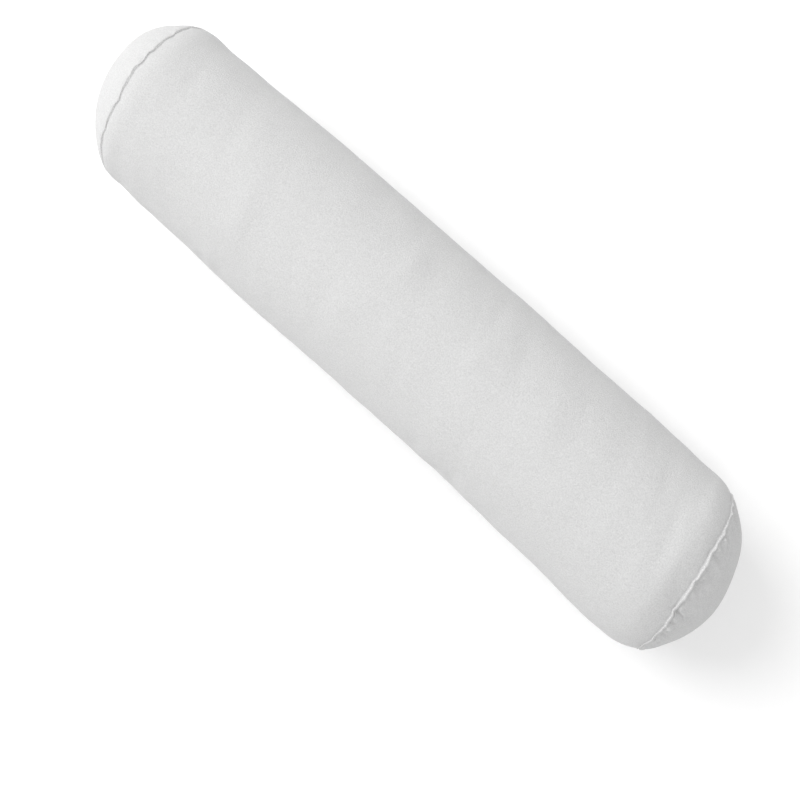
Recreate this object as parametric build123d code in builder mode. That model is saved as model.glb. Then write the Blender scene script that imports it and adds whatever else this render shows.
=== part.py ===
"""Round bolster pillow: a zipped fabric cover over a lined cushion with a wadding-wrapped foam core.

The pillow's axis lies along X. It rests on Z = 0, with the origin under its centre.
The zip runs along the lower part of the +Y side.
"""
from build123d import *
from math import cos, radians, sin
import os

# ---- Driving dimensions, in millimetres and degrees ----

# Outline of the filled pillow
outer_diameter = 152.4
overall_length = 660.4
seam_diameter = 137.2
shoulder_angle = 35.0       # how far the body has turned inwards at the ring seam
resting_sink = 2.7          # how far the round body is flattened where it rests

# Layers, counted inwards from the outer surface
cover_wall = 0.9
liner_inset = 2.0
liner_wall = 0.5
wadding_inset = 2.8
core_diameter = 120.0
core_length = 572.0
core_clearance = 0.3

# Seams
lip_height = 2.4            # seam allowance that stands up along each ring seam
lip_root = 0.4              # how deep the lip is sunk into the panel that it belongs to
thread_diameter = 0.4
thread_gap = 0.05
ring_thread_height = 1.0    # height of the stitch line up the lip

# Zip
zip_angle = -25.0           # below the horizontal, on the +Y side
opening_length = 500.0
opening_width = 13.0
tape_length = 524.0
tape_width = 13.0
tape_thickness = 0.6
tape_edge = 1.0             # from the zip's centre line to each tape
tape_gap = 0.1              # between the tape and the cover that it is sewn under
stitch_offset = 10.0
bar_tack_length = 2.0
bar_tack_width = 12.0

# Zip coils, modelled as two interlocking combs
coil_height = 2.0
coil_inner = 1.5            # the solid back of each comb lies between these two
coil_outer = 2.9
coil_reach = 1.0            # how far each tooth reaches past the centre line
coil_pitch = 2.1
tooth_width = 0.75

# Zip slider and pull
slider_length = 12.0
slider_width = 9.6
slider_corner = 1.6
slider_end_gap = 0.5        # between the slider and a stop
stop_length = 3.0
stop_margin = 4.0           # from the end of the opening to the outer side of each stop
lower_plate_thickness = 1.0
upper_plate_thickness = 1.2
plate_tape_gap = 0.4
plate_coil_gap = 0.2
flange_width = 1.3
diamond_length = 5.0
diamond_width = 1.2
diamond_setback = 0.8       # from the slider's front edge to the diamond
bridge_length = 9.2
bridge_height = 3.1
bridge_wall = 0.9
bridge_width = 2.0
bridge_corner = 1.3
crossbar_diameter = 1.4
crossbar_lift = 1.1         # from the upper plate to the crossbar's centre
pull_length = 24.0
pull_width = 7.0
pull_thickness = 1.0
pull_tilt = 3.0             # the pull leans in towards the zip at rest
pull_window_length = 6.0
pull_window_width = 2.6
pull_arm_width = 1.5
slider_liner_gap = 0.6      # between the slider and the cushion behind it

# ---- Derived sizes ----

outer_radius = outer_diameter / 2
seam_radius = seam_diameter / 2
axis_height = outer_radius - resting_sink
turn_sin = sin(radians(shoulder_angle))
turn_cos = cos(radians(shoulder_angle))

# The body curves in by an arc, and the domed end carries on from it as part of a sphere.
shoulder_bend = (outer_radius - seam_radius) / (1 - turn_cos)
dome_bend = seam_radius / turn_cos
dome_x = overall_length / 2 - dome_bend
seam_x = dome_x + dome_bend * turn_sin
shoulder_x = seam_x - shoulder_bend * turn_sin
shoulder_centre = (shoulder_x, outer_radius - shoulder_bend)

# Heights in the zip, counted from the pillow's axis
tape_top = outer_radius - cover_wall - tape_gap
tape_bottom = tape_top - tape_thickness
coil_top = tape_top + coil_height
lower_plate_top = tape_bottom - plate_tape_gap
lower_plate_bottom = lower_plate_top - lower_plate_thickness
upper_plate_bottom = coil_top + plate_coil_gap
upper_plate_top = upper_plate_bottom + upper_plate_thickness
flange_bottom = tape_top + plate_tape_gap
crossbar_height = upper_plate_top + crossbar_lift
liner_flat = lower_plate_bottom - slider_liner_gap

# Places along the zip
stop_x = opening_length / 2 - stop_margin
slider_x = stop_x - stop_length - slider_end_gap - slider_length / 2
diamond_front = slider_x + slider_length / 2 - diamond_setback
diamond_back = diamond_front - diamond_length
coil_start = -stop_x + stop_length + slider_end_gap
coil_end = diamond_back - slider_end_gap

# ---- Planes ----

axis_point = (0, 0, axis_height)
pillow_axis = Axis(axis_point, (1, 0, 0))


def meridian(angle):
    """Plane through the pillow's axis whose local Y points away from it.

    The angle counts upwards from the horizontal on the +Y side.
    """
    return Plane(origin=axis_point, x_dir=(1, 0, 0), z_dir=(0, -sin(radians(angle)), cos(radians(angle))))


zip_out = (0, cos(radians(zip_angle)), sin(radians(zip_angle)))
zip_axis = Axis(axis_point, zip_out)
zip_plane = Plane(origin=axis_point, x_dir=(1, 0, 0), z_dir=zip_out)
zip_section = Plane(origin=axis_point, x_dir=zip_plane.y_dir, z_dir=(1, 0, 0))
crown = 90.0
lower_side = 1
upper_side = -1


# ---- Shapes shared by several pieces ----

def barrel(inset, overshoot=0.0, zip_flat=None):
    """Solid body of the pillow, inset from its outer surface and flat where it rests.

    It ends at the cones through the ring seams, or goes past them by an overshoot in degrees.
    A zip flat cuts it back to a plane behind the zip, at this distance from the axis.
    """
    turn = shoulder_angle + overshoot
    bend = shoulder_bend - inset
    with BuildPart() as blank:
        with BuildSketch(meridian(crown)):
            with BuildLine():
                top = Line((0, outer_radius - inset), (shoulder_x, outer_radius - inset))
                shoulder = CenterArc(shoulder_centre, bend, 90, -turn)
                end = shoulder @ 1
                foot_x = end.X if overshoot else dome_x
                Polyline(end, (foot_x, 0), (0, 0), top @ 0)
            make_face()
            mirror(about=Plane.YZ)
        revolve(axis=pillow_axis)
        split(bisect_by=Plane.XY.offset(inset), keep=Keep.TOP)
        if zip_flat:
            split(bisect_by=zip_plane.offset(zip_flat), keep=Keep.BOTTOM)
    return blank.part


def filled_outline(inset, zip_flat):
    """Solid of the whole pillow with its domed ends, inset from its outer surface."""
    with BuildPart() as blank:
        with BuildSketch(meridian(crown)):
            with BuildLine():
                top = Line((0, outer_radius - inset), (shoulder_x, outer_radius - inset))
                CenterArc(shoulder_centre, shoulder_bend - inset, 90, -shoulder_angle)
                dome = CenterArc((dome_x, 0), dome_bend - inset, 0, 90 - shoulder_angle)
                Polyline(dome @ 0, (0, 0), top @ 0)
            make_face()
            mirror(about=Plane.YZ)
        revolve(axis=pillow_axis)
        split(bisect_by=Plane.XY.offset(inset), keep=Keep.TOP)
        split(bisect_by=zip_plane.offset(zip_flat), keep=Keep.BOTTOM)
    return blank.part


def dome_shell(inset, wall):
    """Domed round panel at the +X end, with its edge on the ring seam."""
    with BuildPart() as shell:
        with BuildSketch(meridian(crown)):
            with BuildLine():
                outer = CenterArc((dome_x, 0), dome_bend - inset, 0, 90 - shoulder_angle)
                inner = CenterArc((dome_x, 0), dome_bend - inset - wall, 0, 90 - shoulder_angle)
                Line(outer @ 0, inner @ 0)
                Line(outer @ 1, inner @ 1)
            make_face()
        revolve(axis=pillow_axis)
    return shell.part


def seam_lip(side_align):
    """Fabric edge that stands up along the +X ring seam, on one side of the seam."""
    root_x = seam_x - lip_root * turn_sin
    root_radius = seam_radius - lip_root * turn_cos
    with BuildPart() as lip:
        with BuildSketch(meridian(crown)):
            with Locations((root_x, root_radius)):
                Rectangle(
                    cover_wall,
                    lip_root + lip_height,
                    rotation=-shoulder_angle,
                    align=(side_align, Align.MIN),
                )
        revolve(axis=pillow_axis)
    return lip.part


def ring_thread(beyond, height):
    """Ring of thread at the +X ring seam.

    It lies this far beyond the seam, along the surface, and this high above the outer surface.
    """
    centre_x = seam_x + beyond * turn_cos + height * turn_sin
    centre_radius = seam_radius - beyond * turn_sin + height * turn_cos
    with BuildPart() as ring:
        with BuildSketch(meridian(crown)):
            with Locations((centre_x, centre_radius)):
                Circle(thread_diameter / 2)
        revolve(axis=pillow_axis)
    return ring.part


def side_thread(angle, inset, start_x):
    """Thread along the body at this angle round the axis, from start_x nearly to the +X ring seam."""
    turn = shoulder_angle - 3
    with BuildPart() as thread:
        with BuildSketch(meridian(angle)):
            with BuildLine():
                arcs = []
                for depth in (inset, inset + thread_diameter):
                    Line((start_x, outer_radius - depth), (shoulder_x, outer_radius - depth))
                    arcs.append(CenterArc(shoulder_centre, shoulder_bend - depth, 90, -turn))
                Line(arcs[0] @ 1, arcs[1] @ 1)
                Line((start_x, outer_radius - inset), (start_x, outer_radius - inset - thread_diameter))
            make_face()
        extrude(amount=thread_diameter / 2, both=True)
    return thread.part


def curved_strip(low, high, offset, width, start_x, end_x):
    """Strip along the zip that follows the body's curve, between two distances from the axis."""
    with BuildPart() as strip:
        with BuildSketch(zip_section.offset(start_x)):
            Circle(high)
            Circle(low, mode=Mode.SUBTRACT)
            with Locations((offset, high)):
                Rectangle(width, outer_radius - opening_width, mode=Mode.INTERSECT)
        extrude(amount=end_x - start_x)
    return strip.part


# ---- Cover ----

with BuildPart() as cover_body:
    add(barrel(0))
    add(barrel(cover_wall, overshoot=4), mode=Mode.SUBTRACT)
    add(seam_lip(Align.MAX))
    mirror(seam_lip(Align.MAX), about=Plane.YZ)
    with BuildSketch(zip_plane.offset(tape_bottom)):
        SlotOverall(opening_length, opening_width)
    extrude(amount=outer_radius, mode=Mode.SUBTRACT)

with BuildPart() as cover_end_right:
    add(dome_shell(0, cover_wall))
    add(seam_lip(Align.MIN))

with BuildPart() as cover_end_left:
    mirror(cover_end_right.part, about=Plane.YZ)

with BuildPart() as end_seam_thread_right:
    add(ring_thread(cover_wall + thread_diameter / 2 + thread_gap, ring_thread_height))

with BuildPart() as end_seam_thread_left:
    mirror(end_seam_thread_right.part, about=Plane.YZ)

with BuildPart() as side_seam_thread_right:
    add(side_thread(zip_angle, cover_wall + thread_gap, tape_length / 2 + 1))

with BuildPart() as side_seam_thread_left:
    mirror(side_seam_thread_right.part, about=Plane.YZ)

# ---- Zip, sewn into the cover ----

tape_centre = tape_edge + tape_width / 2

with BuildPart() as zip_tape_upper:
    add(
        curved_strip(
            tape_bottom, tape_top, upper_side * tape_centre, tape_width, -tape_length / 2, tape_length / 2
        )
    )

with BuildPart() as zip_tape_lower:
    mirror(zip_tape_upper.part, about=meridian(zip_angle))


def coil_outline(side, shift):
    """Corners of a comb: a straight back with evenly spaced teeth that reach past the centre line."""
    corners = [(coil_start, side * coil_outer), (coil_start, side * coil_inner)]
    tooth_x = coil_start + shift
    while tooth_x + tooth_width < coil_end:
        corners.append((tooth_x, side * coil_inner))
        corners.append((tooth_x, -side * coil_reach))
        corners.append((tooth_x + tooth_width, -side * coil_reach))
        corners.append((tooth_x + tooth_width, side * coil_inner))
        tooth_x += coil_pitch
    corners.append((coil_end, side * coil_inner))
    corners.append((coil_end, side * coil_outer))
    return corners


first_tooth = (coil_pitch / 2 - tooth_width) / 2

with BuildPart() as zip_coil_upper:
    with BuildSketch(zip_plane.offset(tape_top)):
        with BuildLine():
            Polyline(*coil_outline(upper_side, first_tooth), close=True)
        make_face()
    extrude(amount=coil_height)

with BuildPart() as zip_coil_lower:
    with BuildSketch(zip_plane.offset(tape_top)):
        with BuildLine():
            Polyline(*coil_outline(lower_side, first_tooth + coil_pitch / 2), close=True)
        make_face()
    extrude(amount=coil_height)

with BuildPart() as zip_bottom_stop:
    with BuildSketch(zip_plane.offset(tape_top)):
        with Locations((-stop_x + stop_length / 2, 0)):
            RectangleRounded(stop_length, 2 * coil_outer, 0.5)
    extrude(amount=coil_height)
    fillet(zip_bottom_stop.faces().sort_by(zip_axis)[-1].edges(), 0.3)

stop_centre = (tape_edge + coil_outer) / 2

with BuildPart() as zip_top_stops:
    with BuildSketch(zip_plane.offset(tape_top)):
        with Locations((stop_x - stop_length / 2, stop_centre), (stop_x - stop_length / 2, -stop_centre)):
            RectangleRounded(stop_length, coil_outer - tape_edge, 0.4)
    extrude(amount=coil_height)

with BuildPart() as zip_stitching_upper:
    add(
        curved_strip(
            outer_radius,
            outer_radius + thread_diameter,
            upper_side * stitch_offset,
            thread_diameter,
            -opening_length / 2,
            opening_length / 2,
        )
    )

with BuildPart() as zip_stitching_lower:
    mirror(zip_stitching_upper.part, about=meridian(zip_angle))

with BuildPart() as zip_bar_tacks:
    add(
        curved_strip(
            outer_radius,
            outer_radius + thread_diameter,
            0,
            bar_tack_width,
            opening_length / 2 + 1,
            opening_length / 2 + 1 + bar_tack_length,
        )
    )
    mirror(about=Plane.YZ)

with BuildPart() as zip_slider:
    with BuildSketch(zip_plane.offset(lower_plate_bottom)):
        with Locations((slider_x, 0)):
            RectangleRounded(slider_length, slider_width, slider_corner)
    extrude(amount=lower_plate_thickness)
    with BuildSketch(zip_plane.offset(upper_plate_bottom)):
        with Locations((slider_x, 0)):
            RectangleRounded(slider_length, slider_width, slider_corner)
    extrude(amount=upper_plate_thickness)
    upper_rim = zip_slider.faces().sort_by(zip_axis)[-1].edges()
    fillet(upper_rim, upper_plate_thickness / 2)
    with BuildSketch(zip_plane.offset(flange_bottom)):
        flange_y = (slider_width - flange_width) / 2
        with Locations((slider_x, flange_y), (slider_x, -flange_y)):
            Rectangle(slider_length - 2 * slider_corner, flange_width)
    extrude(amount=upper_plate_bottom - flange_bottom + upper_plate_thickness / 3)
    with BuildSketch(zip_plane.offset(lower_plate_top)):
        with BuildLine():
            Polyline(
                (diamond_front, 0),
                (diamond_front - diamond_width / 2, diamond_width / 2),
                (diamond_back + diamond_width, diamond_width / 2),
                (diamond_back, 0),
                (diamond_back + diamond_width, -diamond_width / 2),
                (diamond_front - diamond_width / 2, -diamond_width / 2),
                close=True,
            )
        make_face()
    extrude(amount=upper_plate_bottom - lower_plate_top)
    with BuildSketch(meridian(zip_angle)):
        with BuildLine():
            bridge_foot = upper_plate_top - upper_plate_thickness / 3
            bridge_top = upper_plate_top + bridge_height
            outer_half = bridge_length / 2
            inner_half = outer_half - bridge_wall
            outer_arch = FilletPolyline(
                (slider_x - outer_half, bridge_foot),
                (slider_x - outer_half, bridge_top),
                (slider_x + outer_half, bridge_top),
                (slider_x + outer_half, bridge_foot),
                radius=bridge_corner,
            )
            inner_arch = FilletPolyline(
                (slider_x - inner_half, bridge_foot),
                (slider_x - inner_half, bridge_top - bridge_wall),
                (slider_x + inner_half, bridge_top - bridge_wall),
                (slider_x + inner_half, bridge_foot),
                radius=bridge_corner - bridge_wall / 2,
            )
            Line(outer_arch @ 0, inner_arch @ 0)
            Line(outer_arch @ 1, inner_arch @ 1)
        make_face()
    extrude(amount=bridge_width / 2, both=True)

# The pull hangs from its crossbar under the slider's bridge, and points back along the closed zip.
crossbar_plane = Plane(
    origin=zip_plane.from_local_coords((slider_x, 0, crossbar_height)),
    x_dir=(-1, 0, 0),
    z_dir=zip_plane.y_dir,
)
pull_direction = crossbar_plane.rotated((0, 0, -pull_tilt)).x_dir
pull_plane = Plane(origin=crossbar_plane.origin, x_dir=pull_direction, z_dir=pull_direction.cross(zip_plane.y_dir))
arm_span = pull_window_width + 2 * pull_arm_width
arm_end = pull_thickness / 2

with BuildPart() as zip_pull:
    with BuildSketch(pull_plane.offset(-pull_thickness / 2)):
        with Locations((-arm_end, 0)):
            Rectangle(pull_window_length + 2 * arm_end, arm_span, align=(Align.MIN, Align.CENTER))
        tab_length = pull_length - pull_window_length
        with Locations((pull_window_length, 0)):
            RectangleRounded(tab_length, pull_width, 2.4, align=(Align.MIN, Align.CENTER))
        with Locations((-2 * arm_end, 0)):
            Rectangle(
                pull_window_length + 2 * arm_end,
                pull_window_width,
                align=(Align.MIN, Align.CENTER),
                mode=Mode.SUBTRACT,
            )
        with Locations((pull_window_length + tab_length / 2 + 2, 0)):
            SlotOverall(tab_length / 2, pull_window_width, mode=Mode.SUBTRACT)
    extrude(amount=pull_thickness)
    with BuildSketch(crossbar_plane):
        Circle(crossbar_diameter / 2)
    extrude(amount=arm_span / 2, both=True)

# ---- Lined cushion inside the cover ----

with BuildPart() as liner_body:
    add(barrel(liner_inset, zip_flat=liner_flat))
    add(barrel(liner_inset + liner_wall, overshoot=4, zip_flat=liner_flat - liner_wall), mode=Mode.SUBTRACT)

with BuildPart() as liner_end_right:
    add(dome_shell(liner_inset, liner_wall))

with BuildPart() as liner_end_left:
    mirror(liner_end_right.part, about=Plane.YZ)

with BuildPart() as liner_seam_thread_right:
    add(ring_thread(0, thread_gap + thread_diameter / 2 - liner_inset))

with BuildPart() as liner_seam_thread_left:
    mirror(liner_seam_thread_right.part, about=Plane.YZ)

with BuildPart() as liner_side_thread:
    add(side_thread(zip_angle + 180, liner_inset - thread_diameter - thread_gap, 0))
    mirror(about=Plane.YZ)

wadding_flat = liner_flat - (wadding_inset - liner_inset)

with BuildPart() as wadding_wrap:
    add(filled_outline(wadding_inset, wadding_flat))
    split(bisect_by=Plane.YZ.offset(core_length / 2), keep=Keep.BOTTOM)
    split(bisect_by=Plane.YZ.offset(-core_length / 2), keep=Keep.TOP)
    with BuildSketch(Plane(origin=axis_point, z_dir=(1, 0, 0))):
        Circle(core_diameter / 2 + core_clearance)
    extrude(amount=core_length, both=True, mode=Mode.SUBTRACT)

with BuildPart() as wadding_end_right:
    add(filled_outline(wadding_inset, wadding_flat))
    split(bisect_by=Plane.YZ.offset(core_length / 2 + core_clearance), keep=Keep.TOP)

with BuildPart() as wadding_end_left:
    mirror(wadding_end_right.part, about=Plane.YZ)

with BuildPart() as foam_core:
    with BuildSketch(Plane(origin=axis_point, z_dir=(1, 0, 0))):
        Circle(core_diameter / 2)
    extrude(amount=core_length / 2, both=True)

# ---- Write each piece ----

pieces = {
    "cover_body": cover_body,
    "cover_end_left": cover_end_left,
    "cover_end_right": cover_end_right,
    "end_seam_thread_left": end_seam_thread_left,
    "end_seam_thread_right": end_seam_thread_right,
    "side_seam_thread_left": side_seam_thread_left,
    "side_seam_thread_right": side_seam_thread_right,
    "zip_tape_upper": zip_tape_upper,
    "zip_tape_lower": zip_tape_lower,
    "zip_coil_upper": zip_coil_upper,
    "zip_coil_lower": zip_coil_lower,
    "zip_bottom_stop": zip_bottom_stop,
    "zip_top_stops": zip_top_stops,
    "zip_stitching_upper": zip_stitching_upper,
    "zip_stitching_lower": zip_stitching_lower,
    "zip_bar_tacks": zip_bar_tacks,
    "zip_slider": zip_slider,
    "zip_pull": zip_pull,
    "liner_body": liner_body,
    "liner_end_left": liner_end_left,
    "liner_end_right": liner_end_right,
    "liner_seam_thread_left": liner_seam_thread_left,
    "liner_seam_thread_right": liner_seam_thread_right,
    "liner_side_thread": liner_side_thread,
    "wadding_wrap": wadding_wrap,
    "wadding_end_left": wadding_end_left,
    "wadding_end_right": wadding_end_right,
    "foam_core": foam_core,
}

os.makedirs("parts", exist_ok=True)
for name, piece in pieces.items():
    piece.part.label = name
    export_step(piece.part, f"parts/{name}.step")
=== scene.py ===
"""Round bolster pillow in plain white cotton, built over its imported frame.

The pillow's axis lies along X and it rests on Z = 0. All sizes are in metres and angles in radians,
unless a comment says otherwise. Most pieces are laid out on one grid of points: rows run round the
pillow at an arc distance s from its middle, and columns run along it at an angle phi from the zip.
"""

from math import ceil, cos, pi, radians, sin, sqrt, tau

import bpy
import numpy as np
from mathutils import Euler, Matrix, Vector, noise


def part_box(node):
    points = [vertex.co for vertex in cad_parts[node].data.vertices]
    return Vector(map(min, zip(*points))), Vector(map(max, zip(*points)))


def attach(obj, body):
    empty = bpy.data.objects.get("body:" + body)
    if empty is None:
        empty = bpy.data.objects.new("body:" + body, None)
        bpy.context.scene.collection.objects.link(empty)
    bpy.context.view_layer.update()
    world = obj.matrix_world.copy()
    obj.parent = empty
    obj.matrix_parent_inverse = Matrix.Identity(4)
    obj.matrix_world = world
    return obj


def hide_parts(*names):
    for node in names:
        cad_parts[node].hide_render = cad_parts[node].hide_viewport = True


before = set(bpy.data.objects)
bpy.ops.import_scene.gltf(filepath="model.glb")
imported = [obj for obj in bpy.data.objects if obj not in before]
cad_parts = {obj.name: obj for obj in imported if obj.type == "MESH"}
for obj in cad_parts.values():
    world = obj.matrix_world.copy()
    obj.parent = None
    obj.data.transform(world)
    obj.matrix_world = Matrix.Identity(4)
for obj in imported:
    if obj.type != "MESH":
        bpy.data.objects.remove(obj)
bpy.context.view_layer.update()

# ---- Sizes that come from the frame ----

half_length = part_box("cover_end_right")[1].x
outer_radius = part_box("cover_body")[1].y
axis_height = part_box("cover_body")[1].z - outer_radius
core_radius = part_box("foam_core")[1].y
core_half_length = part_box("foam_core")[1].x
opening_half_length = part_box("zip_stitching_upper")[1].x
coil_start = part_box("zip_coil_upper")[0].x
coil_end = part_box("zip_coil_upper")[1].x
tack_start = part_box("zip_bar_tacks")[1].x - 0.002
tack_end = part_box("zip_bar_tacks")[1].x

# ---- Sizes that repeat the CAD model's ----

seam_radius = 0.0686
shoulder_turn = radians(35)
zip_turn = radians(-25)
cover_wall = 0.0009
liner_inset = 0.0020
liner_wall = 0.0005
wadding_inset = 0.0029
liner_flat = 0.0726
wadding_flat = 0.0718
core_gap = 0.0003
opening_half_width = 0.0065
zip_stitch_offset = 0.0100
coil_bottom = 0.0752
coil_top = 0.0772
coil_pitch = 0.0021

shoulder_bend = (outer_radius - seam_radius) / (1 - cos(shoulder_turn))
dome_bend = seam_radius / cos(shoulder_turn)
seam_x = half_length - dome_bend * (1 - sin(shoulder_turn))
shoulder_x = seam_x - shoulder_bend * sin(shoulder_turn)
seam_s = shoulder_x + shoulder_bend * shoulder_turn
pole_s = seam_s + dome_bend * (pi / 2 - shoulder_turn)
axis_point = np.array((0.0, 0.0, axis_height))
zip_out = np.array((0.0, cos(zip_turn), sin(zip_turn)))

end_names = {-1: "left", 1: "right"}

# ---- Sizes of the cloth detail ----

lip_wall = 0.0005            # one layer of the fabric edge that stands along each ring seam
lip_profile = (              # height and distance from the seam, from the top of the lip to its rounded foot
    (0.00175, 0.00055), (0.00150, 0.00055), (0.00115, 0.00056), (0.00082, 0.00064), (0.00052, 0.00080),
    (0.00028, 0.00104), (0.00010, 0.00136),
)
lip_shares = [lip_wall / cover_wall] * 3 + [0.6, 0.68, 0.78, 0.9]   # thickness of each lip row, of the wall's
lip_slope = 0.08             # how far the lip leans over the end panel, for each metre of its height
groove_depth = 0.0003        # how far the cloth dips at each ring seam, under the foot of the lip
stitch_height = 0.0010       # of the row of stitches up the lip
stitch_gap = 0.00057
thread_diameter = 0.0004
row_pitch = 0.0020           # spacing of the grid near the ring seams
column_pitch = 0.0020
pole_gap = 0.0040            # from the last row of the grid to the pole
zip_columns = (0.0007, 0.0016, 0.0030, 0.0047, 0.0065, 0.0071, 0.0082, 0.0093, 0.0100, 0.0107, 0.0118)
zip_edge_column = zip_columns.index(opening_half_width)

# ---- How the cloth settles ----

cap_fullness = 0.034         # extra cloth next to each ring seam, as a share of the girth
body_fullness = 0.006
cloth_bending = 1.0
settle_frames = 12
gather_start = 0.0005        # height of the folds that the settling starts from
fold_blur = 40               # smoothing passes that tell the folds from the broad shape
fold_strength = 1.6
largest_move = 0.0045
right_lean, left_lean = -0.178, -0.105      # how far each ring seam leans out of square
left_cap_fullness = 0.0028                  # how much further the left end panel reaches along X
tuck_height = {-1: 0.3, 1: 1.5}             # height of the tucks at each end, for each metre of their step
lip_height = {-1: 0.95, 1: 1.5}             # height of the lip at each end, as a share of its profile

rng = np.random.default_rng(26)


# ---- Small helpers ----

def smooth_step(value, low, high):
    """0 below low, 1 above high, and a smooth change between them."""
    t = np.clip((value - low) / (high - low), 0.0, 1.0)
    return t * t * (3 - 2 * t)


def hump(value, width):
    """1 where value is 0, falling smoothly to nothing over about twice the width."""
    return np.exp(-((value / width) ** 2))


def unit(vectors):
    """The same vectors at length 1."""
    return vectors / np.maximum(np.linalg.norm(vectors, axis=-1, keepdims=True), 1e-12)


def ring_noise(phi, low, high):
    """Wavy numbers round the pillow with a spread of 1, made of low to high waves per turn."""
    total = np.zeros_like(phi)
    waves = range(low, high + 1)
    for wave in waves:
        total += rng.normal() * np.cos(wave * phi + rng.uniform(0, tau))
    return total / sqrt(len(waves) / 2)


# ---- The grid ----

def outline(s):
    """Filled outline at arc distance s from the middle: x, radius and the normal's x and radial parts."""
    side = np.where(s < 0, -1.0, 1.0)
    run = np.abs(s)
    bend = np.clip((run - shoulder_x) / shoulder_bend, 0.0, shoulder_turn)
    turn = bend + np.clip((run - seam_s) / dome_bend, 0.0, pi / 2 - shoulder_turn)
    x = np.minimum(run, shoulder_x) + shoulder_bend * np.sin(bend) + dome_bend * (np.sin(turn) - np.sin(bend))
    radius = outer_radius - shoulder_bend * (1 - np.cos(bend)) + dome_bend * (np.cos(turn) - np.cos(bend))
    return side * x, radius, side * np.sin(turn), np.cos(turn)


def row_places():
    """Arc distance of each row, from one pole to the other, with rows on the ring seams and zip ends."""
    slot_end = opening_half_length - opening_half_width
    middle = np.linspace(0.0, slot_end, 54)
    slot_rows = slot_end + opening_half_width * np.array((0.35, 0.65, 0.88, 1.0))
    shoulder = np.linspace(opening_half_length, seam_s, ceil((seam_s - opening_half_length) / row_pitch) + 1)
    cap = np.linspace(seam_s, pole_s - pole_gap, ceil((pole_s - pole_gap - seam_s) / row_pitch) + 1)
    half = np.concatenate((middle, slot_rows, shoulder[1:], cap[1:]))
    return np.concatenate((-half[::-1], half[1:]))


def column_places():
    """Angle of each column from the zip's centre line, closer together at the zip."""
    near = np.arcsin(np.array(zip_columns) / outer_radius)
    first = near[-1] + column_pitch / outer_radius
    count = ceil((tau - 2 * first) * outer_radius / column_pitch) + 1
    return np.concatenate((-near[::-1], [0.0], near, np.linspace(first, tau - first, count)))


def grid_angles(s, phi):
    """Angle of every point from the zip. The columns close in at the rounded ends of the zip opening."""
    angles = np.broadcast_to(phi, (len(s), len(phi))).copy()
    into_end = (np.abs(s) - opening_half_length + opening_half_width) / opening_half_width
    rounding = np.sqrt(np.maximum(1 - np.clip(into_end, 0, 1) ** 2, 0.03))
    rounding = np.where(np.abs(s) > opening_half_length + 1e-6, 1.0, rounding)
    edge = np.arcsin(opening_half_width / outer_radius) + 1e-9
    inside = np.abs(phi) <= edge
    angles[:, inside] *= rounding[:, None]
    return angles


s_rows = row_places()
phi_columns = column_places()
S = s_rows[:, None]
PHI = grid_angles(s_rows, phi_columns)
row_count, column_count = PHI.shape
right_seam = int(np.argmin(np.abs(s_rows - seam_s)))
left_seam = int(np.argmin(np.abs(s_rows + seam_s)))
seam_rows = {-1: left_seam, 1: right_seam}


def around(x, radius, angle):
    """Points at these places along the pillow's axis and distances from it, at angles from the zip."""
    x, radius, angle = np.broadcast_arrays(x, radius, angle)
    world = angle + zip_turn
    return np.stack((x, radius * np.cos(world), axis_height + radius * np.sin(world)), -1)


def outline_points(inset=0.0):
    """The grid on the filled outline, moved in along its normals."""
    x, radius, normal_x, normal_radius = outline(S)
    return around(x - inset * normal_x, radius - inset * normal_radius, PHI)


def outline_normals():
    _, _, normal_x, normal_radius = outline(S)
    return around(normal_x, normal_radius, PHI) - axis_point


def surface_normals(points):
    """Outward normals of a grid of points that closes on itself round the pillow."""
    round_it = np.roll(points, -1, 1) - np.roll(points, 1, 1)
    along = np.gradient(points, axis=0)
    return unit(np.cross(round_it, along))


base_points = outline_points()
base_normals = outline_normals()


def at_points(rule):
    """A number for every point of the grid, found from its place."""
    return np.array([[rule(Vector(point)) for point in row] for row in base_points])


zip_distance = outer_radius * np.minimum(np.abs(PHI), tau - np.abs(PHI))
seam_distance = np.abs(S) - seam_s
on_cap = np.clip(seam_distance, 0, None)
on_body = np.clip(-seam_distance, 0, None)
toward_back = np.cos(PHI + zip_turn)
sideways = toward_back**2
at_zip = (1 - smooth_step(zip_distance, 0.016, 0.034)) * (1 - smooth_step(np.abs(S), 0.257, 0.284))


# ---- The cover as cloth, settled round its filling ----

def lowest_nearby(field, reach):
    """Each value replaced by the lowest one within this many grid points."""
    low = field
    for step in range(reach):
        low = np.minimum(low, np.minimum(np.roll(low, 1, 1), np.roll(low, -1, 1)))
        padded = np.pad(low, ((1, 1), (0, 0)), mode="edge")
        low = np.minimum(low, np.minimum(padded[:-2], padded[2:]))
    return low


def blurred(field, passes):
    """Each value averaged with its neighbours, this many times."""
    for step in range(passes):
        field = (np.roll(field, 1, 1) + np.roll(field, -1, 1) + 2 * field) / 4
        padded = np.concatenate((field[:1], field, field[-1:]))
        field = (padded[:-2] + padded[2:] + 2 * field) / 4
    return field


def gather_field():
    """Small radial folds that start each gather, on both sides of the ring seams."""
    field = np.zeros(PHI.shape)
    for side in (-1, 1):
        folds = ring_noise(PHI, 34, 52)
        strength = np.clip(0.55 + 0.5 * ring_noise(PHI, 1, 5), 0.05, 1.4)
        fold_length = 0.017 + 0.006 * np.clip(ring_noise(PHI, 2, 9), -1.2, 2.0)
        cap_part = (1 - hump(on_cap, 0.003)) * hump(on_cap, fold_length)
        body_part = 0.6 * (1 - hump(on_body, 0.003)) * hump(on_body, 0.010)
        field += np.where(side * S > 0, folds * strength * (cap_part + body_part), 0.0)
    return field


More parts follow.
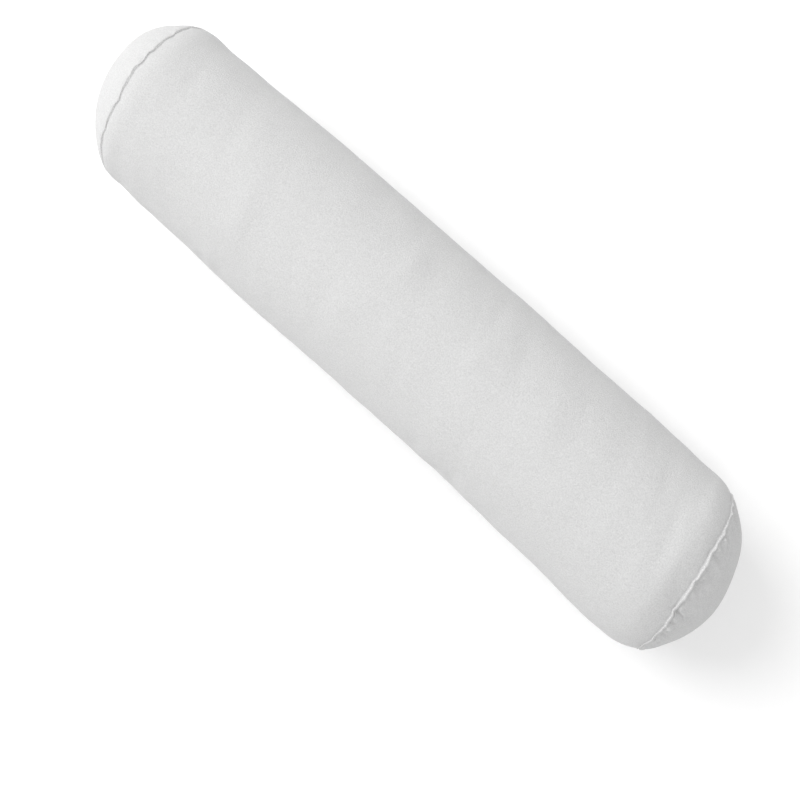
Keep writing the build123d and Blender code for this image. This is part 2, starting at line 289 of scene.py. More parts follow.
def slack_radius():
    """Radius of each row when the cloth lies unstretched. Next to the seams there is more cloth than room."""
    radius = outline(S)[1]
    cap_slack = cap_fullness * (1 - hump(on_cap, 0.005)) * hump(on_cap, 0.034)
    body_slack = body_fullness * (1 - hump(on_body, 0.005)) * hump(on_body, 0.016)
    return radius * (1 + cap_slack + body_slack)


def cloth_rest_points():
    """The grid in its unstretched size: wider where there is slack, with the rows as far apart as before."""
    radius = slack_radius()[:, 0]
    steps = np.diff(s_rows)
    along = np.sqrt(np.maximum(steps**2 - np.diff(radius) ** 2, (0.2 * steps) ** 2))
    x = np.concatenate(([0.0], np.cumsum(along)))
    x -= x[-1] / 2
    return around(x[:, None], radius[:, None], PHI), x[-1]


def grid_faces(rows, columns):
    """Four-sided faces between the rows of a grid that closes on itself."""
    row, column = np.meshgrid(np.arange(rows - 1), np.arange(columns), indexing="ij")
    beside = (column + 1) % columns
    first = row * columns
    faces = np.stack((first + column, first + beside, first + columns + beside, first + columns + column), -1)
    return faces.reshape(-1, 4)


def close_pole(ring_start, columns, pole, outward):
    """Triangles between one ring of points and a pole."""
    column = np.arange(columns)
    beside = (column + 1) % columns
    ends = (column, beside) if outward else (beside, column)
    return np.stack((ring_start + ends[0], ring_start + ends[1], np.full(columns, pole)), -1)


def close_ends(rows, poles):
    """Points and faces of rows that close at a pole beyond the first and the last of them."""
    count, columns = rows.shape[:2]
    points = np.vstack((rows.reshape(-1, 3), poles))
    faces = grid_faces(count, columns).tolist()
    faces += close_pole(0, columns, count * columns, False).tolist()
    faces += close_pole((count - 1) * columns, columns, count * columns + 1, True).tolist()
    return points, faces


def settle_cloth(start, rest, rest_end):
    """Hold the cover at its ring seams and let the pressure of the filling settle it as cloth."""
    count = row_count * column_count
    points, faces = close_ends(start, ((-half_length, 0, axis_height), (half_length, 0, axis_height)))
    far = rest_end + pole_gap
    rest_points = np.vstack((rest.reshape(-1, 3), ((-far, 0, axis_height), (far, 0, axis_height))))
    mesh = bpy.data.meshes.new("cloth_blank")
    mesh.from_pydata(points.tolist(), [], faces)
    blank = bpy.data.objects.new("cloth_blank", mesh)
    bpy.context.scene.collection.objects.link(blank)
    blank.shape_key_add(name="Basis")
    rest_key = blank.shape_key_add(name="unstretched")
    rest_key.data.foreach_set("co", rest_points.astype(np.float32).ravel())
    # The cloth only uses its unstretched shape when another modifier comes before it.
    everything = blank.vertex_groups.new(name="everything")
    everything.add(list(range(len(points))), 1.0, "REPLACE")
    keep_all = blank.modifiers.new("keep_all", "MASK")
    keep_all.vertex_group = "everything"
    held = blank.vertex_groups.new(name="held")
    for row in (left_seam, right_seam):
        held.add(list(range(row * column_count, (row + 1) * column_count)), 0.6, "REPLACE")
    cloth = blank.modifiers.new("cloth", "CLOTH")
    settings = {
        "rest_shape_key": rest_key,
        "vertex_group_mass": "held",
        "pin_stiffness": 1.0,
        "quality": 6,
        "mass": 0.05,
        "tension_stiffness": 20.0,
        "compression_stiffness": 10.0,
        "shear_stiffness": 3.0,
        "bending_stiffness": cloth_bending,
        "tension_damping": 5.0,
        "compression_damping": 5.0,
        "shear_damping": 5.0,
        "bending_damping": 0.5,
        "use_pressure": True,
        "uniform_pressure_force": 8.0,
    }
    for setting, value in settings.items():
        setattr(cloth.settings, setting, value)
    cloth.settings.effector_weights.gravity = 0.0
    cloth.collision_settings.use_collision = False
    cloth.point_cache.frame_start = 1
    cloth.point_cache.frame_end = settle_frames
    for frame_number in range(1, settle_frames + 1):
        bpy.context.scene.frame_set(frame_number)
    settled = blank.evaluated_get(bpy.context.evaluated_depsgraph_get())
    places = np.zeros(len(points) * 3, np.float32)
    settled.data.vertices.foreach_get("co", places)
    bpy.data.objects.remove(blank)
    bpy.data.meshes.remove(mesh)
    bpy.context.scene.frame_set(1)
    return places.astype(float).reshape(-1, 3)[:count].reshape(row_count, column_count, 3)


def cloth_moves():
    """How far the cloth's folds move every point of the grid."""
    folds = gather_field()
    start = base_points + gather_start * folds[..., None] * base_normals
    rest, rest_end = cloth_rest_points()
    moves = settle_cloth(start, rest, rest_end) - base_points
    # Only the folds are kept: the outline itself stays where the frame has it.
    moves = fold_strength * (moves - blurred(moves, fold_blur))
    size = np.linalg.norm(moves, axis=-1, keepdims=True)
    moves = moves * np.minimum(1.0, largest_move / np.maximum(size, 1e-9))
    from_pole = (pole_s - np.abs(S))[..., None]
    cap_share = hump(on_cap, 0.017) * np.where(S > 0, 1.0, 0.5)
    body_share = 0.25 * hump(on_body, 0.005)
    share = np.where(seam_distance > 0, cap_share, body_share) * (1 - hump(seam_distance, 0.0025))
    return moves * share[..., None] * smooth_step(from_pole, 0.006, 0.026) * (1 - at_zip[..., None])


# Soft hollows (positive depth) and swells (negative depth) that the filling leaves in the body: place
# along X, angle round the axis in degrees from +Y over the top, depth, half-widths along X and round,
# and slant in degrees. Lengths are in millimetres.
soft_hollows = (
    # The broad shape
    (250, 184, -3.9, 42, 60, 0),
    (-8, 176, 2.4, 90, 60, 0),
    (92, 176, 2.0, 58, 54, 0),
    (-215, 180, 2.9, 72, 62, 0),
    (-277, 184, 2.6, 16, 44, 0),
    (40, 14, -1.3, 110, 40, 0),
    (-245, 20, 2.8, 58, 40, 0),
    (-268, 14, 1.2, 20, 36, 0),
    (262, 24, 1.8, 34, 36, 0),
    # The end panels, and the shoulder beside the right one
    (326, 18, -2.8, 20, 42, 0),
    (330, 150, 1.8, 18, 30, 0),
    (-326, 40, -3.2, 20, 52, 0),
    (-328, 170, -0.8, 22, 44, 0),
    (290, 118, 5.0, 17, 44, 0),
    (278, 54, -1.2, 12, 30, 0),
    # Soft creases across the top
    (-250, 72, 0.7, 8, 18, -6),
    (-153, 110, -1.0, 8, 30, -16),
    (-38, 114, -0.7, 14, 26, 0),
    (-26, 70, -1.5, 9, 20, -10),
    (4, 112, 0.35, 4, 17, -8),
    (15, 114, 0.35, 4, 15, -10),
    (51, 58, 0.8, 5, 24, -10),
    (60, 88, -1.0, 9, 15, 0),
    (84, 62, 1.1, 8, 28, -20),
    (133, 84, -1.1, 10, 36, -16),
    (172, 112, -0.7, 13, 26, -12),
    (196, 72, 0.5, 8, 26, -16),
    (235, 70, 0.8, 6, 32, -14),
    (258, 88, 0.8, 7, 38, -12),
    (-96, 100, 0.5, 12, 36, -8),
    (-200, 76, 0.6, 9, 28, -10),
    # Short creases low on the front, and a few on the back and underneath
    (66, 163, 1.2, 4, 12, 10),
    (108, 170, 1.6, 5, 16, -10),
    (90, 172, 1.0, 4, 13, 12),
    (-150, 168, 1.5, 5, 15, 10),
    (-168, 172, 1.6, 4, 12, -6),
    (-186, 168, 0.9, 5, 14, 8),
    (150, 166, 0.8, 8, 22, 6),
    (40, -62, 0.9, 12, 30, 12),
    (-120, -68, 0.8, 12, 34, -12),
    (200, 205, 0.9, 10, 26, 10),
    (-60, 212, 0.9, 11, 30, -12),
)


def hollow_field():
    """How far the body swells or hollows from its plain round shape."""
    degrees = np.degrees(PHI + zip_turn)
    total = np.zeros(PHI.shape)
    for x, angle, depth, half_along, half_round, slant in soft_hollows:
        turn = (degrees - angle + 180) % 360 - 180
        across = np.radians(turn) * outer_radius
        along = S - x / 1000
        lean = radians(slant)
        first = along * cos(lean) + across * sin(lean)
        second = across * cos(lean) - along * sin(lean)
        total -= depth / 1000 * hump(first, half_along / 1000) * hump(second, half_round / 1000)
    return total


def left_cap_swell():
    """Extra fullness of the left end panel, along X."""
    return -left_cap_fullness * smooth_step(-S, seam_s + 0.004, seam_s + 0.05)


def lump(place):
    """Uneven filling: broad lumps over the whole pillow, and shallow waves that run slantwise round it."""
    slanted = Vector((48 * (place.x + 0.3 * place.y), 12 * place.y, 12 * place.z))
    waves = 0.0005 * noise.noise(slanted) + 0.00012 * noise.noise(slanted * 2.3)
    return 0.0007 * noise.noise(place * 16) + waves


def seam_slant(places):
    """Sideways lean of both ends, so that each ring seam lies a little out of square."""
    toward_zip_side = places[..., 1] * 0.989 + (places[..., 2] - axis_height) * 0.147
    start = 1.5 * outer_radius
    reach = np.clip((np.abs(places[..., 0]) - start) / (seam_x - start), 0, 1) ** 1.5
    lean = np.where(places[..., 0] > 0, right_lean, left_lean)
    held = (1 - smooth_step(zip_distance, 0.018, 0.046)) * (1 - smooth_step(np.abs(S), 0.256, seam_s))
    return lean * reach * toward_zip_side * (1 - held)


def make_tucks(side, count=19):
    """Places round a ring seam where the cloth was eased in: angle, step of the seam, length of the fold."""
    tucks = []
    for number in range(count):
        angle = (number + rng.uniform(0.1, 0.9)) * tau / count
        step = rng.choice((-1.0, 1.0)) * rng.uniform(0.0006, 0.0015)
        tucks.append((side, angle, step, rng.uniform(0.005, 0.015)))
    return tucks


# The deepest tucks are low on the front of the right end, where the cloth was eased in most.
deep_tucks = [
    (1, radians(76) - zip_turn, -0.0010, 0.012),
    (1, radians(97) - zip_turn, -0.0012, 0.009),
    (1, radians(125) - zip_turn, 0.0014, 0.016),
    (1, radians(135) - zip_turn, 0.0014, 0.011),
    (1, radians(147) - zip_turn, 0.0011, 0.011),
]
tucks = make_tucks(-1) + make_tucks(1, 13) + deep_tucks


def seam_jog():
    """Small sideways steps of the ring seams, where the stitching pulled unevenly."""
    jog = np.zeros(PHI.shape)
    for side in (-1, 1):
        wander = 0.00034 * ring_noise(PHI, 5, 13) + 0.00016 * ring_noise(PHI, 16, 30)
        jog += np.where(side * S > 0, wander * hump(seam_distance, 0.007), 0.0)
    for side, angle, step, length in tucks:
        run = ((PHI - angle + pi) % tau - pi) * seam_radius / 0.0030
        jog += np.where(side * S > 0, step * run * hump(run, 1.0) * hump(seam_distance, 0.004), 0.0)
    return jog


def tuck_field():
    """Short folds that run from the steps of the ring seams into the end panels."""
    radius = outline(S)[1]
    total = np.zeros(PHI.shape)
    for side, angle, step, length in tucks:
        across = ((PHI - angle + pi) % tau - pi) * radius - np.sign(step) * 0.25 * on_cap
        shape = hump(across - 0.0021, 0.0021) - 1.3 * hump(across + 0.0018, 0.0021)
        height = tuck_height[side] * abs(step) * smooth_step(on_cap, 0.0, 0.003) * hump(on_cap, length)
        total += np.where(side * S > 0, np.sign(step) * height * shape, 0.0)
    return total


def seam_dips():
    """Grooves at the seams, the swell beside each ring seam, and the pressed edges of the zip opening."""
    ring = -groove_depth * hump(seam_distance, 0.0022) + 0.0002 * hump(np.abs(seam_distance) - 0.009, 0.006)
    beyond_zip = smooth_step(np.abs(S), 0.2545, 0.258) * (np.abs(S) < seam_s)
    side = -0.0006 * hump(zip_distance, 0.0012) * beyond_zip
    along_zip = 1 - smooth_step(np.abs(S), opening_half_length, opening_half_length + 0.003)
    fold = -0.00035 * hump(zip_distance - opening_half_width, 0.0008)
    row = -0.00018 * hump(zip_distance - zip_stitch_offset, 0.0009)
    return ring + side + along_zip * (fold + row)


def press_flat(points, floor, soft=0.0012):
    """Flatten whatever lies lower than the floor, with a small smooth bend beside it."""
    height = points[..., 2] - floor
    bent = np.where(height < -soft, 0.0, (height + soft) ** 2 / (4 * soft))
    pressed = points.copy()
    pressed[..., 2] = floor + np.where(height > soft, height, bent)
    return pressed


def seam_slide():
    """How far each end panel reaches round the shoulder, past its place in the frame. More at the sides."""
    right = -0.0037 * np.clip(toward_back, 0, 1) ** 2 - 0.0024 * np.clip(-toward_back, 0, 1) ** 8
    right += 0.0022 * hump(PHI + zip_turn - radians(130), radians(26))
    slide = np.where(S < 0, 0.0048 + 0.0014 * sideways, right)
    return slide * hump(seam_distance, 0.024) * (1 - at_zip)


slant = seam_slant(base_points)
moves = cloth_moves()
swell = (hollow_field() + at_points(lump)) * (1 - at_zip) * smooth_step(pole_s - np.abs(S), 0.0, 0.03)
cover_points = base_points + moves + (swell + seam_dips() + tuck_field())[..., None] * base_normals
cover_points[..., 0] += slant + seam_jog() + left_cap_swell()
cover_points += seam_slide()[..., None] * unit(np.gradient(base_points, axis=0))
rise = np.sum((cover_points - base_points) * base_normals, -1) - slant * base_normals[..., 0]
cover_points = press_flat(cover_points, 0.0)
inner_rise = np.minimum(blurred(lowest_nearby(rise, 4), 6), 0.0)


def inner_layer(inset, flat, ripple):
    """The grid on a layer inside the cover, kept under its hollows and flat behind the zip."""
    points = outline_points(inset) + (inner_rise - ripple)[..., None] * base_normals
    points[..., 0] += slant
    past_flat = np.clip((points - axis_point) @ zip_out - flat, 0, None)
    points = points - past_flat[..., None] * zip_out
    return press_flat(points, inset, 0.0004)


# ---- Building pieces ----

def new_piece(name, points, faces, slot, replaces, body="pillow", uv=None, sharp=None):
    """A mesh piece from points and faces that rides on a body and stands for CAD nodes."""
    mesh = bpy.data.meshes.new(name)
    mesh.from_pydata(np.asarray(points).tolist(), [], [tuple(face) for face in faces])
    mesh.shade_smooth()
    if sharp:
        mesh.set_sharp_from_angle(angle=radians(sharp))
    if uv is not None:
        layer = mesh.uv_layers.new(name="cloth")
        layer.data.foreach_set("uv", np.asarray(uv, np.float32).ravel())
    mesh.materials.append(materials[slot])
    piece = bpy.data.objects.new(name, mesh)
    bpy.context.scene.collection.objects.link(piece)
    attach(piece, body)
    if replaces:
        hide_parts(*replaces)
    return piece


def thicken(piece, wall, share):
    """Give a cloth piece its thickness, inwards. Share holds how much of it each point gets."""
    group = piece.vertex_groups.new(name="wall")
    for level in np.unique(share):
        group.add(np.nonzero(share == level)[0].tolist(), float(level), "REPLACE")
    solid = piece.modifiers.new("wall", "SOLIDIFY")
    solid.thickness = wall
    solid.offset = -1.0
    solid.vertex_group = "wall"
    made = piece.evaluated_get(bpy.context.evaluated_depsgraph_get())
    mesh = bpy.data.meshes.new_from_object(made)
    piece.modifiers.clear()
    old = piece.data
    piece.data = mesh
    mesh.name = piece.name
    bpy.data.meshes.remove(old)
    piece.vertex_groups.clear()
    mesh.shade_smooth()
    mesh.set_sharp_from_angle(angle=radians(55))


def row_at(points, s):
    """One row of points at any arc distance, between the grid's rows."""
    above = int(np.clip(np.searchsorted(s_rows, s), 1, row_count - 1))
    low, high = s_rows[above - 1], s_rows[above]
    share = (s - low) / (high - low)
    return points[above - 1] * (1 - share) + points[above] * share


def seam_frame(row):
    """Directions at a ring seam: across it towards +X, and up out of the cloth."""
    along = unit(cover_points[row + 4] - cover_points[row - 4])
    smooth = cover_points[row].copy()
    for step in range(12):
        smooth = (np.roll(smooth, 1, 0) + np.roll(smooth, -1, 0) + smooth) / 3
    round_it = np.roll(smooth, -1, 0) - np.roll(smooth, 1, 0)
    up = unit(np.cross(round_it, along))
    return along, up


def lip_lean(side):
    """Sideways lean of the lip at each column, for each metre of its height. It leans over the end panel."""
    return side * lip_slope + 0.14 * ring_noise(phi_columns, 8, 18) + 0.07 * ring_noise(phi_columns, 24, 40)


def lip_rise(side):
    """Height of the lip at each column, as a share of its profile. It lies lower round the sides."""
    ragged = 1 + 0.07 * ring_noise(phi_columns, 14, 40) + 0.05 * ring_noise(phi_columns, 60, 110)
    return lip_height[side] * ragged * (1 - 0.6 * sideways[left_seam])


# For each ring seam: direction along the cloth, direction out of it, lean of the lip and share of its height.
seam_sides = {row: (*seam_frame(row), lip_lean(side), lip_rise(side)) for side, row in seam_rows.items()}


def lip_row(row, towards, height, gap):
    """One row of points up the lip of a ring seam, on its face towards +X (1) or -X (-1)."""
    along, up, lean, rise_share = seam_sides[row]
    foot = cover_points[row] + towards * gap * along
    return foot + (height * rise_share)[:, None] * unit(up + lean[:, None] * along)


def cloth_rows(row, towards):
    """Rows from the top of a ring seam's lip down to the panel beside it, and their arc distances."""
    rows, places = [], []
    for height, gap in lip_profile:
        rows.append(lip_row(row, towards, height, gap))
        places.append(s_rows[row] + towards * (gap - height))
    return rows, places


# ---- Materials ----

def add_node(tree, kind, inputs=None, **settings):
    """A shader node with its settings. Inputs may be values or other nodes' outputs."""
    node = tree.nodes.new(kind)
    for key, value in settings.items():
        setattr(node, key, value)
    for socket, value in (inputs or {}).items():
        if isinstance(value, bpy.types.NodeSocket):
            tree.links.new(value, node.inputs[socket])
        else:
            node.inputs[socket].default_value = value
    return node


def math_node(tree, operation, first, second):
    return add_node(tree, "ShaderNodeMath", {0: first, 1: second}, operation=operation).outputs[0]


def weighted_sum(tree, parts):
    """One height from several textures, each with its share."""
    total = None
    for output, share in parts:
        scaled = math_node(tree, "MULTIPLY", output, share)
        total = scaled if total is None else math_node(tree, "ADD", total, scaled)
    return total


def finish_material(material, shades, mix, height, bump, roughness, **sockets):
    """A surface between two shades, with a bump of this many metres and plain values on its shader."""
    tree = material.node_tree
    shader = tree.nodes["Principled BSDF"]
    low, high = shades
    colour = add_node(
        tree, "ShaderNodeMix", {"Factor": mix, 6: (*low, 1), 7: (*high, 1)}, data_type="RGBA"
    )
    tree.links.new(colour.outputs[2], shader.inputs["Base Color"])
    relief = add_node(tree, "ShaderNodeBump", {"Height": height, "Distance": bump, "Strength": 1.0})
    tree.links.new(relief.outputs["Normal"], shader.inputs["Normal"])
    shader.inputs["Roughness"].default_value = roughness
    for socket, value in sockets.items():
        shader.inputs[socket.replace("_", " ")].default_value = value
    return material


def start_material(name):
    """A new material, its node tree, and the places of its points in the object's own frame."""
    material = bpy.data.materials.new(name)
    material.use_nodes = True
    tree = material.node_tree
    return material, tree, add_node(tree, "ShaderNodeTexCoord").outputs["Object"]


def noise_texture(tree, vector, scale, detail=2.0):
    node = add_node(
        tree, "ShaderNodeTexNoise", {"Vector": vector, "Scale": scale, "Detail": detail, "Roughness": 0.55}
    )
    return node.outputs[0]


def wave_texture(tree, vector, pitch, direction="X"):
    """Even ridges with this pitch in metres."""
    node = add_node(
        tree,
        "ShaderNodeTexWave",
        {"Vector": vector, "Scale": tau / (20 * pitch), "Distortion": 0.0},
        wave_type="BANDS",
        bands_direction=direction,
    )
    return node.outputs[1]


def stretched(tree, vector, scale):
    return add_node(tree, "ShaderNodeMapping", {"Vector": vector, "Scale": scale}).outputs[0]


def woven_cloth(name, shades, thread_pitch, weave, grain, bump, roughness, sheen):
    """Plain weave: crossed threads of uneven thickness over a soft, slightly mottled ground."""
    material, tree, solid = start_material(name)
    cloth = add_node(tree, "ShaderNodeUVMap", uv_map="cloth").outputs[0]
    warp = wave_texture(tree, cloth, thread_pitch, "X")
    weft = wave_texture(tree, cloth, thread_pitch, "Y")
    crossed = math_node(tree, "MULTIPLY", warp, weft)
    slub_along = noise_texture(tree, stretched(tree, cloth, (1400, 120, 1)), 1.0)
    slub_across = noise_texture(tree, stretched(tree, cloth, (120, 1400, 1)), 1.0)
    fuzz = noise_texture(tree, solid, 900.0, 3.0)
    height = weighted_sum(
        tree, ((crossed, weave), (slub_along, 0.5 * weave), (slub_across, 0.5 * weave), (fuzz, grain))
    )
    mottle = weighted_sum(tree, ((noise_texture(tree, solid, 55.0, 1.0), 0.04), (fuzz, 0.96)))
    return finish_material(
        material, shades, mottle, height, bump, roughness,
        Sheen_Weight=sheen, Sheen_Roughness=0.45, Specular_IOR_Level=0.2,
    )


def twisted_thread(name, shades):
    material, tree, solid = start_material(name)
    twist = wave_texture(tree, solid, 0.0005, "DIAGONAL")
    fuzz = noise_texture(tree, solid, 3500.0)
    height = weighted_sum(tree, ((twist, 1.0), (fuzz, 0.5)))
    return finish_material(
        material, shades, fuzz, height, 0.00008, 0.55, Sheen_Weight=0.15, Specular_IOR_Level=0.4
    )


def zip_tape_cloth(name, shades):
    """Herringbone tape: slanted ribs that turn back at even steps across it."""
    material, tree, solid = start_material(name)
    parts = add_node(tree, "ShaderNodeSeparateXYZ", {"Vector": solid})
    zigzag = math_node(tree, "PINGPONG", parts.outputs[2], 0.0016)
    slide = math_node(tree, "ADD", parts.outputs[0], zigzag)
    slanted = add_node(tree, "ShaderNodeCombineXYZ", {"X": slide}).outputs[0]
    ribs = wave_texture(tree, slanted, 0.0008)
    fuzz = noise_texture(tree, solid, 2500.0)
    height = weighted_sum(tree, ((ribs, 1.0), (fuzz, 0.4)))
    return finish_material(
        material, shades, fuzz, height, 0.00012, 0.7, Sheen_Weight=0.1, Specular_IOR_Level=0.3
    )


def moulded_nylon(name, shades):
    material, tree, solid = start_material(name)
    drawn = noise_texture(tree, solid, 1800.0)
    cloudy = noise_texture(tree, solid, 300.0)
    return finish_material(
        material, shades, cloudy, drawn, 0.00002, 0.38, Specular_IOR_Level=0.5, Subsurface_Weight=0.05
    )


def enamelled_metal(name, shades):
    """Satin enamel over cast zinc, a little orange-peeled."""
    material, tree, solid = start_material(name)
    peel = noise_texture(tree, solid, 1600.0, 1.0)
    handled = noise_texture(tree, solid, 260.0, 4.0)
    return finish_material(
        material, shades, handled, peel, 0.00002, 0.32,
        Specular_IOR_Level=0.5, Coat_Weight=0.4, Coat_Roughness=0.2,
    )


def fibre_wadding(name, shades):
    material, tree, solid = start_material(name)
    strands = noise_texture(tree, stretched(tree, solid, (900, 240, 240)), 1.0, 6.0)
    crossing = noise_texture(tree, stretched(tree, solid, (260, 1000, 900)), 1.0, 6.0)
    tufts = noise_texture(tree, solid, 120.0, 3.0)
    height = weighted_sum(tree, ((strands, 1.0), (crossing, 1.0), (tufts, 1.5)))
    return finish_material(
        material, shades, tufts, height, 0.0006, 1.0, Sheen_Weight=0.4, Specular_IOR_Level=0.1
    )


def open_cell_foam(name, shades):
    material, tree, solid = start_material(name)
    voronoi = add_node(tree, "ShaderNodeTexVoronoi", {"Vector": solid, "Scale": 1100.0}, feature="F1")
    cells = voronoi.outputs[0]
    cuts = noise_texture(tree, stretched(tree, solid, (30, 500, 500)), 1.0)
    height = weighted_sum(tree, ((cells, 1.0), (cuts, 0.6)))
    return finish_material(material, shades, cells, height, 0.0004, 0.95, Specular_IOR_Level=0.15)


materials = {
    "cover_fabric": woven_cloth(
        "cover_fabric", ((0.485, 0.485, 0.484), (0.795, 0.795, 0.794)), 0.00055, 0.2, 1.0, 0.0006, 0.92, 0.1
    ),
    "thread": twisted_thread("thread", ((0.84, 0.84, 0.835), (0.9, 0.9, 0.895))),
    "zip_tape": zip_tape_cloth("zip_tape", ((0.76, 0.76, 0.755), (0.84, 0.84, 0.835))),
    "zip_coil": moulded_nylon("zip_coil", ((0.78, 0.78, 0.77), (0.84, 0.84, 0.83))),
    "zip_metal": enamelled_metal("zip_metal", ((0.76, 0.76, 0.75), (0.83, 0.83, 0.82))),
    "liner_fabric": woven_cloth(
        "liner_fabric", ((0.70, 0.69, 0.66), (0.86, 0.85, 0.82)), 0.0008, 0.8, 0.6, 0.0002, 0.9, 0.1
    ),
    "wadding": fibre_wadding("wadding", ((0.84, 0.84, 0.84), (0.92, 0.92, 0.92))),
    "foam": open_cell_foam("foam", ((0.80, 0.76, 0.64), (0.90, 0.87, 0.77))),
}


# ---- Cover ----

def tube_uv(s_of_row, angles, faces):
    """Cloth coordinates of each face corner: along the pillow, and round it from the zip."""
    columns = len(angles)
    row, column = faces // columns, faces % columns
    angle = angles[column]
    wrapped = (column == 0) & (column.max(axis=1, keepdims=True) == columns - 1)
    angle = np.where(wrapped, angle + tau, angle)
    return np.stack((np.asarray(s_of_row)[row], angle * outer_radius), -1)


def disc_uv(s_of_row, angles, faces, pole_count):
    """Cloth coordinates of each face corner of a round panel, spread flat round its pole."""
    from_pole = np.repeat(pole_s - np.abs(np.asarray(s_of_row)), len(angles))
    angle = np.tile(angles, len(s_of_row))
    flat = np.stack((from_pole * np.cos(angle), from_pole * np.sin(angle)), -1)
    flat = np.vstack((flat, np.zeros((pole_count, 2))))
    return flat[np.concatenate([np.array(face) for face in faces])]


def make_cover_body():
    """Tube of the cover with its zip opening, from the lip of one ring seam to the other."""
    left_rows, left_s = cloth_rows(left_seam, 1)
    right_rows, right_s = cloth_rows(right_seam, -1)
    inner = range(left_seam + 1, right_seam)
    rows = left_rows + [cover_points[row] for row in inner] + right_rows[::-1]
    places = left_s + [s_rows[row] for row in inner] + right_s[::-1]
    points = np.array(rows)
    count = len(rows)
    faces = grid_faces(count, column_count)
    # Leave the zip opening out, between the two columns at its edges.
    centre = len(zip_columns)
    first_open, last_open = centre - zip_edge_column - 1, centre + zip_edge_column + 1
    row, column = faces[:, 0] // column_count, faces[:, 0] % column_count
    s_middle = (np.array(places)[row] + np.array(places)[row + 1]) / 2
    open_face = (column >= first_open) & (column < last_open) & (np.abs(s_middle) < opening_half_length)
    faces = faces[~open_face]
    share = np.ones((count, column_count))
    for index, level in enumerate(lip_shares):
        share[index] = share[count - 1 - index] = level
    edge = hump((zip_distance[0] - opening_half_width), 0.0008)
    by_zip = (np.abs(places) <= opening_half_length + 1e-6)[:, None] * edge[None, :]
    share = np.round(share * (1 - 0.5 * by_zip), 2)
    used = np.unique(faces)
    renumber = np.full(count * column_count, -1)
    renumber[used] = np.arange(len(used))
    uv = tube_uv(places, phi_columns, faces)
    points = points.reshape(-1, 3)[used]
    piece = new_piece(
        "cover_body_cloth", points, renumber[faces], "cover_fabric", ["cover_body"], uv=uv
    )
    thicken(piece, cover_wall, share.ravel()[used])
    return piece


def make_cover_end(side):
    """Domed round panel of the cover with its lip, at the +X (1) or -X (-1) end."""
    seam = seam_rows[side]
    rows, places = cloth_rows(seam, side)
    beyond = range(seam + 1, row_count) if side > 0 else range(seam - 1, -1, -1)
    rows = rows + [cover_points[row] for row in beyond]
    places = places + [s_rows[row] for row in beyond]
    if side < 0:
        rows, places = rows[::-1], places[::-1]
    end_ring = cover_points[-1 if side > 0 else 0]
    pole = end_ring.mean(axis=0) + (side * (1 - cos(pole_gap / dome_bend)) * dome_bend, 0, 0)
    count = len(rows)
    points = np.vstack((np.array(rows).reshape(-1, 3), [pole]))
    faces = grid_faces(count, column_count).tolist()
    last = (count - 1) * column_count if side > 0 else 0
    faces += close_pole(last, column_count, count * column_count, side > 0).tolist()
    name = end_names[side]
    piece = new_piece(
        f"cover_end_cloth_{name}", points, faces, "cover_fabric", [f"cover_end_{name}"],
        uv=disc_uv(places, phi_columns, faces, 1),
    )
    share = np.ones(len(points))
    shares = np.repeat(lip_shares, column_count)
    if side > 0:
        share[: len(shares)] = shares
    else:
        share[-1 - len(shares):-1] = shares[::-1]
    thicken(piece, cover_wall, share)
    return piece


# ---- Threads ----

def tube(path, radii, sides=6, up=None):
    """Points and faces of a round thread along a path, closed at both ends."""
    path = np.asarray(path, float)
    along = unit(np.gradient(path, axis=0))
    guide = np.broadcast_to((0.0, 0.0, 1.0) if up is None else up, path.shape)
    across = unit(np.cross(along, guide))
    over = np.cross(across, along)
    turn = np.arange(sides) * tau / sides
    ring = across[:, None] * np.cos(turn)[None, :, None] + over[:, None] * np.sin(turn)[None, :, None]
    rings = path[:, None] + ring * np.asarray(radii, float)[:, None, None]
    count = len(path)
    points = np.vstack((rings.reshape(-1, 3), path[:1], path[-1:]))
    faces = [face[::-1] for face in grid_faces(count, sides).tolist()]
    faces += close_pole(0, sides, count * sides, True).tolist()
    faces += close_pole((count - 1) * sides, sides, count * sides + 1, False).tolist()
    return points, faces


def joined(parts):
    """Several sets of points and faces as one."""
    points, faces, shift = [], [], 0
    for part_points, part_faces in parts:
        points.append(part_points)
        faces += [[corner + shift for corner in face] for face in part_faces]
        shift += len(part_points)
    return np.vstack(points), faces


def stitches(path, ups, pitch, diameter, share=0.80, closed=False, wander=0.0):
    """Single stitches along a path on the cloth. Each one rises a little and dives in at its ends."""
    path = np.asarray(path)
    ups = np.asarray(ups)
    if closed:
        path = np.vstack((path, path[:1]))
        ups = np.vstack((ups, ups[:1]))
    run = np.concatenate(([0.0], np.cumsum(np.linalg.norm(np.diff(path, axis=0), axis=1))))
    count = round(run[-1] / pitch)
    step = run[-1] / count
    parts = []
    bow = np.array((-0.75, 0.10, 0.32, 0.38, 0.32, 0.10, -0.75)) * diameter
    thick = np.array((0.30, 0.46, 0.50, 0.50, 0.50, 0.46, 0.30)) * diameter
    for number in range(count):
        middle = (number + 0.5) * step
        places = middle + np.linspace(-0.5, 0.5, len(bow)) * step * share
        line = np.stack([np.interp(places, run, path[:, axis]) for axis in range(3)], -1)
        up = unit(np.array([np.interp(middle, run, ups[:, axis]) for axis in range(3)]))
        across = np.cross(unit(line[-1] - line[0]), up)
        swing = wander * rng.normal() * np.linspace(-1, 1, len(bow))
        line = line + bow[:, None] * up + swing[:, None] * across
        parts.append(tube(line, thick, 6, up))
    return joined(parts)


